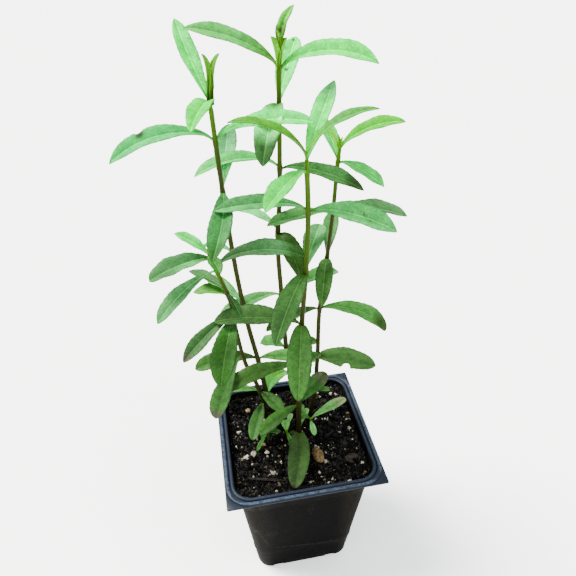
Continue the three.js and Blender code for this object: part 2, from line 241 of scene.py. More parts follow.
# Pot
# A square nursery pot, vacuum-formed from thin black plastic. Its walls widen above a kink, and the flat
# flange at the top carries two rounded beads. The foot has slots and the floor has holes for water.

pot_height = 103
flange_half = 50
flange_thickness = 1
flange_drop = 0.8
flange_top = pot_height - flange_drop
flange_bottom = flange_top - flange_thickness
edge_round_in, edge_round_up = 0.3, 0.25
# Beads on the flange: how far in each is, half its width, and how deep in the flange it starts. The valley
# between them: how far in it is, and how deep under their crests.
outer_bead = (1.75, 1.3, 0.2)
inner_bead = (4.7, 1.1, 0.3)
bead_valley = (3.35, 1.25)
bead_corner_radius = 15
bead_corner_narrowing = 0.7
body_top_half = 45.8
body_bottom_half = 33
corner_radius = 10
wall = 1.2
floor_thickness = 1.6
throat_drop = 3
kink_height = 84
kink_half = 41.6
ledge_height = 22
ledge_step = 0.3
foot_round = 1.2
drain_radius = 4
drain_place = 19
drain_sides = 24
slot_size = (7, 8, 4.8)
corner_steps = 12
side_steps = 10


def rounded_square(half, radius, height):
    """A ring of points round a square with round corners, with points along its sides too."""
    arcs = []
    for corner, (sx, sy) in enumerate(((1, 1), (-1, 1), (-1, -1), (1, -1))):
        angles = (corner + np.linspace(0, 1, corner_steps + 1)) * math.pi / 2
        x = sx * (half - radius) + radius * np.cos(angles)
        y = sy * (half - radius) + radius * np.sin(angles)
        arcs.append(np.stack([x, y], 1))
    ring = []
    for arc, following in zip(arcs, arcs[1:] + arcs[:1]):
        steps = np.linspace(0, 1, side_steps + 1)[1:-1, None]
        ring += [arc, arc[-1] + (following[0] - arc[-1]) * steps]
    flat = np.concatenate(ring)
    return np.column_stack([flat, np.full(len(flat), float(height))])


def loft(rings, first, last):
    """Points and faces over rings of equally many points, with a fan to a point at either end."""
    count = len(rings[0])
    points = np.concatenate(rings).tolist()
    faces = []
    for low in range(0, (len(rings) - 1) * count, count):
        for side in range(count):
            after = (side + 1) % count
            faces.append((low + side, low + after, low + count + after, low + count + side))
    for apex, start, order in ((first, 0, 1), (last, (len(rings) - 1) * count, -1)):
        points.append(list(apex))
        for side in range(count):
            face = (len(points) - 1, start + (side + 1) % count, start + side)
            faces.append(face[::order])
    return points, faces


def body_half(height):
    """Half width of the pot's outside at a height."""
    heights = (0, kink_height, pot_height - throat_drop)
    return float(np.interp(height, heights, (body_bottom_half, kink_half, body_top_half)))


def bead(inset, half_width, sink):
    """Section of a rounded bead on the rim, from its outer edge to its inner one."""
    middle = flange_half - inset
    foot = flange_top - sink
    angles = np.linspace(0, math.pi, 11)
    rise = pot_height - foot
    return [(middle + half_width * math.cos(a), foot + rise * math.sin(a) ** 0.8) for a in angles]


# Sections as [half width, corner radius, height]: over the underside, up the outside of the walls, over the
# flange and its beads, and down the inside to the floor
pot_sections = [(body_bottom_half * share, corner_radius * share, 0) for share in (0.3, 0.6, 0.9)]
pot_sections += [
    (body_bottom_half - foot_round, corner_radius - 1, 0),
    (body_bottom_half - 0.4, corner_radius - 0.3, 0.35),
    (body_half(foot_round), corner_radius, foot_round),
]
pot_sections += [(body_half(z), corner_radius, z) for z in (7, 14, 20)]
pot_sections += [
    (body_half(ledge_height), corner_radius, ledge_height),
    (body_half(ledge_height) + 0.8 * ledge_step, corner_radius, ledge_height + 0.2 * ledge_step),
    (body_half(ledge_height) + ledge_step, corner_radius, ledge_height + ledge_step),
]
upper_heights = (28, 36, 44, 52, 60, 68, 76, 82, 83.4, 84.6, 86, 90, 95, 99)
pot_sections += [(body_half(z), corner_radius, z) for z in upper_heights]
pot_sections += [
    (body_top_half, corner_radius, flange_bottom),
    (flange_half - edge_round_in, 1, flange_bottom),
    (flange_half, 1, flange_bottom + edge_round_up),
    (flange_half, 1, flange_top - edge_round_up),
    (flange_half - edge_round_in, 1.2, flange_top),
]
bead_sections = [(flange_half - 0.4, flange_top)]
bead_sections += bead(*outer_bead)
bead_sections += [(flange_half - bead_valley[0], pot_height - bead_valley[1])]
bead_sections += bead(*inner_bead)
for half, height in bead_sections:
    pot_sections.append((half, bead_corner_radius - bead_corner_narrowing * (flange_half - half), height))
inner_heights = (100, 95, 90, 86, 84.6, 83.4, 82, 60, 22)
pot_sections += [(body_half(z) - wall, corner_radius - wall, z) for z in inner_heights]
pot_sections += [(body_half(floor_thickness) - wall, corner_radius - wall, floor_thickness)]

pot_rings = [rounded_square(*section) for section in pot_sections]
pot_points, pot_faces = loft(pot_rings, (0, 0, 0), (0, 0, floor_thickness))


def pot_finish(name, plain, dust_and_sheen, gloss, roughness, corner_dust_and_sheen, crest_glints):
    """Black plastic of fine pressed grain, dusty in places; dust and painted sheen at its corners, painted
    glints on its crests.
    """
    finish = Finish(name)
    streaks = finish.drawn_out(0.22)
    x, y, z = (finish.axis(finish.place(), letter) for letter in "XYZ")
    corner = finish.between(finish.math("MINIMUM", abs(x), abs(y)), 20, 31)
    dust = finish.between(finish.grain(9, 5, 0.7, streaks), 0.5, 0.78)
    specks = finish.between(finish.grain(0.9, 2), 0.56, 0.7)
    scuffs = finish.between(finish.grain(2.2, 6, 0.75, streaks), 0.62, 0.72)
    # Corners: dust, and a painted sheen along their rounding.
    corner_dust_and_sheen_share = corner_dust_and_sheen * corner * (0.35 + 0.65 * finish.between(finish.grain(1.2, 4, 0.7), 0.4, 0.6))
    colour = finish.blend(dust * 0.25 + corner_dust_and_sheen_share, plain, dust_and_sheen)
    colour = finish.blend(scuffs * 0.15, colour, dust_and_sheen)
    colour = finish.blend(specks * 0.06, colour, display(84, 82, 76))
    colour = finish.blend(rubbed_line(finish, x, y, z) * 0.16, colour, display(72, 68, 60))
    # Painted glints: sky-blue highlights on the outer bead's crests, broken up by grain.
    crest = finish.between(z, pot_height - 0.45, pot_height - 0.02)
    outer = finish.between(finish.math("MAXIMUM", abs(x), abs(y)), flange_half - 3.6, flange_half - 3.1)
    rubbed = finish.between(finish.grain(1.6, 5, 0.75), 0.36, 0.66)
    crest_glint_share = crest * (0.1 + 0.9 * rubbed) * (0.2 + 0.8 * outer) * crest_glints
    colour = finish.blend(crest_glint_share, colour, display(84, 98, 118))
    rough = roughness + 0.25 * dust + 0.1 * scuffs
    relief = finish.grain(0.6, 2) * 0.5 + finish.grain(6, 2) * 0.5
    return finish.surface(colour, rough, relief, 0.07, gloss)


line_height, line_slope, line_climb = 25.5, 0.17, 3
# Scuffs on the front wall: [x, height, size]
front_scuffs = ((-23, 50, 5), (20, 22, 5), (3, 74, 3))


def rubbed_line(finish, x, y, z):
    """The front's scuffs, and a pale rubbed line low on it, which climbs the left-hand corner."""
    climb = finish.math("MINIMUM", finish.math("MAXIMUM", -24 - x, 0.0), 8.0)
    line = line_height - line_slope * x + line_climb * climb
    nearness = 1 - finish.between(abs(z - line) / (1 + 0.7 * climb), 0.15, 0.6)
    broken = finish.between(finish.grain(2.5, 4, 0.7), 0.42, 0.56)
    front = 1 - finish.between(y, -30, -26)
    marks = nearness * broken
    for scuff_x, scuff_z, size in front_scuffs:
        across = (x - scuff_x) / size
        up = (z - scuff_z) / size
        patch = 1 - finish.between(across * across + up * up, 0.2, 1.0)
        scratches = finish.between(finish.grain(1.3, 5, 0.75), 0.52, 0.6)
        marks = finish.math("MAXIMUM", marks, patch * scratches)
    return marks * front


wall_material = pot_finish("pot_wall_plastic", display(4, 4, 4), display(26, 24, 19), 0.005, 0.5, 0.55, 0)
# The rim is the wall's black plastic; its paler, bluish tones are painted reflection of the sky.
rim_material = pot_finish("pot_rim_plastic", display(14, 20, 29), display(34, 41, 52), 0.07, 0.36, 0, 0.34)
pot = new_mesh("square_pot", pot_points, pot_faces, [wall_material, rim_material])


def cut_away(target, points, faces):
    """Takes a closed shape out of a piece."""
    tool = new_mesh("cutter", points, faces, [])
    cut = target.modifiers.new("cut", "BOOLEAN")
    cut.operation = "DIFFERENCE"
    cut.solver = "EXACT"
    cut.object = tool
    bpy.context.view_layer.update()
    result = bpy.data.meshes.new_from_object(target.evaluated_get(bpy.context.evaluated_depsgraph_get()))
    target.modifiers.clear()
    target.data = result
    bpy.data.objects.remove(tool)


# Four round holes in the floor, and two slots through the foot on each side
cutters = []
for sx, sy in ((1, 1), (-1, 1), (-1, -1), (1, -1)):
    centre = (sx * drain_place, sy * drain_place)
    angles = np.linspace(0, 2 * math.pi, drain_sides + 1)[:-1]
    circle = np.column_stack([
        centre[0] + drain_radius * np.cos(angles),
        centre[1] + drain_radius * np.sin(angles),
    ])
    ends = [np.column_stack([circle, np.full(drain_sides, z)]) for z in (-3.0, 3.0)]
    cutters.append(loft(ends, (*centre, -3), (*centre, 3)))
for turn in range(4):
    for side in (-1, 1):
        across, deep, tall = (size / 2 for size in slot_size)
        corners = [(-across, -deep), (across, -deep), (across, deep), (-across, deep)]
        moved = [(x + side * drain_place, y - body_bottom_half) for x, y in corners]
        spun = [Vector((x, y, 0)) @ Matrix.Rotation(turn * math.pi / 2, 3, "Z") for x, y in moved]
        middle = sum(spun, Vector()) / 4
        ends = [np.array([(p.x, p.y, z) for p in spun]) for z in (-tall, tall)]
        cutters.append(loft(ends, (middle.x, middle.y, -tall), (middle.x, middle.y, tall)))
for points, faces in cutters:
    cut_away(pot, points, faces)
on_the_rim = [int(face.center.z > (flange_bottom - 0.1) * MM) for face in pot.data.polygons]
pot.data.polygons.foreach_set("material_index", on_the_rim)
pot.data.shade_smooth()
pot.data.set_sharp_from_angle(angle=math.radians(42))
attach(pot, "root")
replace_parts(pot, "pot")


# Soil
# Dark peat mix that fills the pot to about 12 mm under the rim and stands higher along the walls. Its top is
# a bed of clods, packed down when the plant was potted, with black painted shade in the cracks between them
# and paler painted light on their tops.

soil_level = 92
soil_brim = 95
soil_gap = 0.3
relief_height = 0.9
crack_depth = 1.9
clod_height, small_clod_height = 2.1, 1.3
soil_cells = 210
soil_half = body_half(soil_brim) - wall - soil_gap
soil_corner = corner_radius - wall - soil_gap
# Banks at the walls: how far from the middle each starts, and how high it rises
bank_right, bank_left, bank_back, bank_front = (8, 6), (18, 3.5), (20, 6.5), (24, 2.5)
bank_end = 42


def bank_rise(distance, bank):
    """How high one bank stands at a distance from the middle."""
    start, height = bank
    share = min(1.0, max(0.0, (distance - start) / (bank_end - start)))
    return height * share * share * (3 - 2 * share)


def soil_swell(x, y):
    """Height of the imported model's soil at a place: soft lumps on a dished bed."""
    across = max(bank_rise(x, bank_right), bank_rise(-x, bank_left))
    along = max(bank_rise(y, bank_back), bank_rise(-y, bank_front))
    lumps = (0.6 * math.sin(x * 0.21 + 1.2) * math.cos(y * 0.19 - 0.4)
             + 0.5 * math.sin(x * 0.11 - y * 0.23 + 2.1) + 0.3 * math.cos(x * 0.26 + y * 0.2))
    return soil_level + (across ** 4 + along ** 4) ** 0.25 + relief_height * lumps


def clods(x, y, size, seed):
    """Rounded lumps of about that size, side by side, from 0 in the cracks to 1 on top."""
    distance = noise.voronoi(Vector((x / size, y / size, seed)), distance_metric="DISTANCE")[0][0]
    return math.sqrt(max(0.0, 1 - (distance / 0.75) ** 2))


def soil_surface(x, y):
    """Height of the soil's real surface at a place, and how far it stands out of the cracks, 0 to 1."""
    drift = 1.2 * noise.noise(Vector((x / 9, y / 9, 3.1)))
    rough = noise.noise(Vector((x / 1.1, y / 1.1, 8.4)))
    coarse = clods(x + 2 * drift, y, 5.2, 1.7) * (0.6 + 0.8 * noise.noise(Vector((x / 7, y / 7, 5.0))))
    small = clods(x, y + drift, 2.3, 4.2)
    height = (soil_swell(x, y) - crack_depth + drift
              + clod_height * coarse + small_clod_height * small + 0.5 * rough)
    return height, min(1.0, max(0.0, 0.5 * coarse + 0.55 * small + 0.3 * rough))


def soil_height(x, y):
    """Height of the soil's real surface alone."""
    return soil_surface(x, y)[0]


def reach_of_rounded_square(angle):
    """How far the soil's edge is from the middle in a direction."""
    c, s = abs(math.cos(angle)), abs(math.sin(angle))
    inner = soil_half - soil_corner
    if min(c, s) * soil_half <= inner * max(c, s):
        return soil_half / max(c, s)
    along = inner * (c + s)
    return along + math.sqrt(max(0.0, along ** 2 - 2 * inner ** 2 + soil_corner ** 2))


# The top is a grid of cells drawn out to the rounded square, and the edge's points lead down to the floor
soil_points, soil_tints = [], []
# The bed's colours are painted light: black painted shade in the cracks, paler painted light on the clod
# tops.
crack_shade_tone, clod_top_light_tone = np.array(display(1, 1, 1)), np.array(display(56, 55, 53))
for row in range(soil_cells + 1):
    for column in range(soil_cells + 1):
        u = 2 * column / soil_cells - 1
        v = 2 * row / soil_cells - 1
        angle = math.atan2(v, u)
        share = max(abs(u), abs(v))
        far = share * reach_of_rounded_square(angle)
        x, y = far * math.cos(angle), far * math.sin(angle)
        height, standing = soil_surface(x, y)
        soil_points.append((x, y, height))
        # Painted light: the higher a point stands out of the cracks, the paler it is, dulled at random.
        dull = 0.5 + 0.8 * noise.noise(Vector((x / 3.2, y / 3.2, 6.6)))
        top_light_share = max(0.0, standing * 1.6 - 0.66) ** 2 * max(0.08, dull)
        soil_tints.append(tuple(crack_shade_tone + (clod_top_light_tone - crack_shade_tone) * min(1.0, top_light_share)))
stride = soil_cells + 1
soil_faces = [(a, a + 1, a + stride + 1, a + stride)
              for a in range(soil_cells * stride) if a % stride != soil_cells]
edge = list(range(stride)) + [stride * row + soil_cells for row in range(1, stride)]
edge += [stride * soil_cells + column for column in range(soil_cells - 1, -1, -1)]
edge += [stride * row for row in range(soil_cells - 1, 0, -1)]
soil_floor = floor_thickness + soil_gap
previous = edge
for height in (kink_height, soil_floor):
    half = body_half(height) - wall - soil_gap
    start = len(soil_points)
    for index in edge:
        x, y = soil_points[index][:2]
        soil_points.append((x * half / soil_half, y * half / soil_half, height))
    ring = list(range(start, start + len(edge)))
    for side in range(len(edge)):
        after = (side + 1) % len(edge)
        soil_faces.append((previous[after], previous[side], ring[side], ring[after]))
    previous = ring
soil_points.append((0, 0, soil_floor))
for side in range(len(edge)):
    soil_faces.append((len(soil_points) - 1, previous[(side + 1) % len(edge)], previous[side]))
soil_tints += [tuple(crack_shade_tone)] * (len(soil_points) - len(soil_tints))


class Heap:
    """Many small shapes gathered into one mesh, each with its own colour."""

    def __init__(self):
        self.points = []
        self.faces = []
        self.tints = []

    def add(self, points, faces, tint):
        """Adds a shape in one colour, or with a list of a colour for each point."""
        start = len(self.points)
        self.points += [tuple(point) for point in points]
        self.faces += [[start + corner for corner in face] for face in faces]
        self.tints += [tint] * len(points) if isinstance(tint, tuple) else list(tint)

    def piece(self, name, material):
        """Makes one piece of all that was added, fixed to the pot's body."""
        made = new_mesh(name, self.points, self.faces, [material])
        paint = made.data.attributes.new("tint", "FLOAT_COLOR", "POINT")
        paint.data.foreach_set("color", np.array(self.tints, float).ravel())
        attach(made, "root")
        return made


soil_finish = Finish("peat_mix")
soil_grain = soil_finish.grain(0.8, 5, 0.7)
pits = soil_finish.between(soil_grain, 0.62, 0.4)
soil_colour = soil_finish.blend(pits, soil_finish.tint(), display(2, 2, 2))
# Pale specks, partly grit and partly painted glints of the wet peat.
grit_and_glints = soil_finish.between(soil_finish.grain(0.6, 2), 0.64, 0.71)
soil_colour = soil_finish.blend(grit_and_glints * 0.5, soil_colour, display(124, 122, 114))
soil_relief = soil_finish.grain(0.6, 4, 0.7)
soil_material = soil_finish.surface(soil_colour, 0.9 - 0.2 * soil_grain, soil_relief, 0.5, 0.03)
bed = Heap()
bed.add(soil_points, soil_faces, soil_tints)
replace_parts(bed.piece("peat_bed", soil_material), "soil")


# Crumbs and fibres
# What has broken off the peat and lies loose on the bed: dark crumbs of many sizes, the smallest sometimes
# pale, partly with dust and partly as painted glints, and short brown fibres of moss and root. Each kind is
# one piece.

full_turn = 6.28


def ball(detail):
    """Points and faces of a round ball of radius 1."""
    shape = bmesh.new()
    bmesh.ops.create_icosphere(shape, subdivisions=detail, radius=1)
    points = np.array([vertex.co for vertex in shape.verts])
    faces = [[vertex.index for vertex in face.verts] for face in shape.faces]
    shape.free()
    return points, faces


balls = {detail: ball(detail) for detail in (2, 3, 5)}


def lump(draw, x, y, lift, size, detail, ruggedness):
    """A rough lump of three sizes, turned at random, its middle lifted off the soil."""
    points, faces = balls[detail]
    seed = Vector((draw.uniform(-90, 90), draw.uniform(-90, 90), draw.uniform(-90, 90)))
    swell = np.array([1 + ruggedness * noise.noise(Vector(p) * 1.4 + seed)
                      + 0.5 * ruggedness * noise.noise(Vector(p) * 3.1 - seed) for p in points])
    turn = Matrix.Rotation(draw.uniform(0, full_turn), 3, "Z")
    lean = Matrix.Rotation(draw.uniform(-0.4, 0.4), 3, "X")
    shaped = points * swell[:, None] * (np.array(size) / 2)
    return shaped @ np.array(turn @ lean).T + np.array((x, y, soil_height(x, y) + lift)), faces


def tinted_finish(name, grain_size, depth, roughness, gloss=0.1):
    """A rough natural surface in each bit's own colour."""
    finish = Finish(name)
    shade = finish.between(finish.grain(grain_size, 5, 0.7), 0.3, 0.7)
    colour = finish.blend(0.6 * (1 - shade), finish.tint(), display(3, 3, 2))
    return finish.surface(colour, roughness + 0.1 * shade, finish.grain(grain_size, 4, 0.7), depth, gloss)


def spot_on_soil(draw, inset):
    """A place on the soil, at random, that far or more from its edge."""
    while True:
        x, y = draw.uniform(-soil_half, soil_half), draw.uniform(-soil_half, soil_half)
        if math.hypot(x, y) < reach_of_rounded_square(math.atan2(y, x)) - inset:
            return x, y


# Crumbs: [how many, smallest, largest, detail]
crumb_sizes = ((1350, 0.6, 1.6, 2), (420, 1.6, 3.0, 2), (60, 3.0, 4.6, 3))
crumb_draw = random.Random(11)
crumbs = Heap()
for count, smallest, largest, detail in crumb_sizes:
    for _ in range(count):
        x, y = spot_on_soil(crumb_draw, largest / 2)
        across = crumb_draw.uniform(smallest, largest)
        size = [across * crumb_draw.uniform(0.6, 1.1) for _ in range(3)]
        # Some small crumbs are pale, partly with dust and partly as painted glints.
        grey = 3 + (100 if across < 1.4 else 34) * crumb_draw.random() ** 5
        tint = display(grey, 0.98 * grey, 0.96 * grey)
        crumbs.add(*lump(crumb_draw, x, y, 0.15 * across, size, detail, 1.0), tint)
crumbs.piece("peat_crumbs", tinted_finish("peat_crumb", 0.8, 0.25, 0.85, 0.04))

fibre_count = 230
fibre_steps = 7
fibre_draw = random.Random(5)
fibres = Heap()
for _ in range(fibre_count):
    x, y = spot_on_soil(fibre_draw, 4)
    heading = fibre_draw.uniform(0, full_turn)
    curl = fibre_draw.uniform(-0.35, 0.35)
    length = fibre_draw.uniform(2, 7)
    thickness = fibre_draw.uniform(0.12, 0.3)
    rings = []
    for step in range(fibre_steps):
        heading += curl
        x += length / fibre_steps * math.cos(heading)
        y += length / fibre_steps * math.sin(heading)
        z = soil_height(x, y) + 0.4 + thickness
        side = np.array([-math.sin(heading), math.cos(heading), 0]) * thickness
        rise = np.array([0, 0, thickness])
        rings.append(np.array([(x, y, z)] * 4) + np.array([side, rise, -side, -rise]))
    brown = fibre_draw.uniform(0.6, 1.4)
    tint = display(34 * brown, 29 * brown, 22 * brown)
    fibres.add(*loft(rings, rings[0].mean(0), rings[-1].mean(0)), tint)
fibres.piece("peat_fibres", tinted_finish("peat_fibre", 1.5, 0.1, 0.8))


# Perlite
# White grains of puffed volcanic glass, mixed into the peat to keep it airy, angular and a little dusty. The
# larger ones lie where they do in the photographed pot, [x, y, size], and the rest are strewn.

perlite_places = [
    (17, -21, 3.0), (-34, -9, 2.3), (-20, -6, 2.0), (-37, 12, 2.0), (-32, 21, 1.8), (-40, 1, 1.6),
    (-37, -10, 1.8), (39, 0, 3.0), (41, 7, 2.0), (34, 33, 2.0), (18, -36, 1.6), (28, -40, 2.0),
    (4, -34, 1.6), (-18, -22, 2.0), (39, -30, 2.0), (14, -8, 2.4),
]
strewn_perlite = 170
perlite_draw = random.Random(3)
for _ in range(strewn_perlite):
    perlite_places.append((*spot_on_soil(perlite_draw, 2), 0.5 + 1.1 * perlite_draw.random() ** 2))
perlite = Heap()
for x, y, across in perlite_places:
    size = [across * perlite_draw.uniform(0.6, 1.25) for _ in range(3)]
    pale = perlite_draw.uniform(0.55, 1.2)
    tint = display(158 * pale, 154 * pale, 134 * pale)
    perlite.add(*lump(perlite_draw, x, y, 0.3 * across, size, 3, 1.3), tint)
perlite.piece("perlite_grains", tinted_finish("perlite_grain", 1.2, 0.15, 0.8))


# Bark and grit
# Flat bits of composted bark and tan grit, browner than the peat. Again the larger ones lie where they do in
# the photographed pot, [x, y, size, colour], and the rest are strewn.

bark_places = [
    (-28, 31, 4.2, (102, 86, 58)), (-22, 2, 5, (108, 90, 60)), (-17, -1, 2.4, (92, 68, 40)),
    (-13, -11, 2.4, (88, 66, 42)), (-22, -16, 2.6, (76, 60, 40)), (41, 12, 2.6, (104, 76, 44)),
    (39, -37, 2.8, (80, 66, 42)), (-1, 33, 2.2, (96, 72, 46)), (-16, -33, 3.6, (64, 54, 40)),
]
strewn_bark = 90
bark_draw = random.Random(9)
for _ in range(strewn_bark):
    brown = bark_draw.uniform(0.5, 1.2)
    tone = (48 * brown, 40 * brown, 30 * brown)
    bark_places.append((*spot_on_soil(bark_draw, 2), bark_draw.uniform(0.8, 2.4), tone))
bark_bits = Heap()
for x, y, across, tone in bark_places:
    size = [across * bark_draw.uniform(0.8, 1.4), across * bark_draw.uniform(0.4, 0.8), across * 0.5]
    bark_bits.add(*lump(bark_draw, x, y, 0.2 * across, size, 3, 0.5), display(*tone))
bark_bits.piece("bark_bits", tinted_finish("bark_bit", 1.0, 0.2, 0.8))


# Loose pieces
# A tan river pebble, a flat chip and a long strip of bark, and one big grain of perlite. They lie loose on
# the soil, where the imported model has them.


def loose_shape(node, size, turn, ruggedness, seed, flatness):
    """A lump that fills its node's box and lies along the slope of the soil."""
    low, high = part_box(node)
    middle = (low + high) / 2 / MM
    points, faces = balls[5]
    shift = Vector((seed, 3 * seed, -seed))
    shaped = []
    for point in points:
        swell = 1 + ruggedness * (noise.noise(Vector(point) * 1.3 + shift) - 0.3)
        swell += 0.4 * ruggedness * noise.noise(Vector(point) * 3.7 - shift)
        squared = np.sign(point) * np.abs(point) ** flatness
        shaped.append(squared * min(1.0, swell))
    shaped = np.array(shaped) * np.array(size) / 2
    spin = np.array(Matrix.Rotation(math.radians(turn), 3, "Z"))
    placed = shaped @ spin.T
    slope_x = (soil_swell(middle.x + 3, middle.y) - soil_swell(middle.x - 3, middle.y)) / 6
    slope_y = (soil_swell(middle.x, middle.y + 3) - soil_swell(middle.x, middle.y - 3)) / 6
    placed[:, 2] += slope_x * placed[:, 0] + slope_y * placed[:, 1]
    return placed + np.array(middle), faces


def add_loose_piece(name, node, dark, pale, finish, shape):
    """Colours a loose piece between two tones and sets it in its node's stead."""
    points, faces = loose_shape(node, *shape)
    heap = Heap()
    mixed = []
    for point in points:
        share = min(1.0, max(0.0, 0.5 + 1.3 * noise.noise(Vector(point) * 0.8)))
        mixed.append(tuple(np.array(dark) * (1 - share) + np.array(pale) * share))
    heap.add(points, faces, mixed)
    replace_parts(heap.piece(name, finish), node)


# The last row of each is its shape: [(length, width, thickness), turn, ruggedness, seed, flatness]
add_loose_piece(
    "river_pebble", "pebble_tan", display(46, 34, 16), display(100, 82, 48),
    tinted_finish("pebble_stone", 1.1, 0.08, 0.6),
    ((14, 7.2, 5), 99, 0.08, 2.0, 1.0),
)
add_loose_piece(
    "bark_chip", "bark_flat", display(26, 22, 19), display(46, 39, 32),
    tinted_finish("bark_chip_grain", 1.6, 0.2, 0.85),
    ((10, 7, 1.6), -30, 0.5, 5.0, 0.8),
)
add_loose_piece(
    "bark_splinter", "bark_strip", display(13, 11, 9), display(34, 29, 24),
    tinted_finish("bark_splinter_grain", 1.2, 0.2, 0.85),
    ((24, 3, 1.8), -8, 0.7, 8.0, 0.9),
)
add_loose_piece(
    "perlite_clump", "perlite_lump", display(100, 96, 80), display(156, 152, 132),
    tinted_finish("perlite_clump_foam", 1.2, 0.2, 0.8),
    ((5, 4.2, 3.2), 60, 0.6, 4.0, 0.95),
)


# Stems
# Five upright stems and three young shoots, rooted in the peat. A stem is woody and brown at its foot, green
# above and lime at the tip, and swells where leaves join it, so each is listed with its leaves.

# A leaf is given by the height of its node. Heading, rise, droop and roll are degrees: the heading counts
# from +X towards +Y, the rise is how steeply the tip stands over the foot, the droop is how far the blade
# bends down on its way, and a positive roll lowers the right-hand edge, seen from the stem. Reach is from
# foot to tip, and sway bows the middle sideways. A leaf that differs from its neighbours says so:
#   tone: its colour; on a few leaves, marked where they stand, it is lifted as painted light
#   foot, tip: where along the leaf that end's colour stops or starts, and the colour; some tips are painted
#       shade and some feet painted light, marked where they stand
#   dark_half: one half of the leaf darkened as painted shade, its side (1 is right-hand) and how dark
#   bite, out of an edge: share of the length, side, depth, length
#   scars, brown marks: share of the length, how far to the right of the rib, radius
#   form: fold along the rib in degrees, how late the tip bends, and how the blade widens from its foot and
#       narrows to its tip
#   bud, for a leaf still upright: how dark its outside is, and how far out of the stem's middle it stands
Leaf = namedtuple(
    "Leaf", "height heading rise reach width droop roll sway tone foot tip dark_half bite scars form bud",
    defaults=(0, 0, None, None, None, (0, 1), (0, 0, 0, 1), (), None, None),
)
# A stem's radii are those of its foot and its top, its woody top is the height at which it turns green, and
# its path is the places that it passes through.
Stem = namedtuple("Stem", "name radii woody_top path leaves")

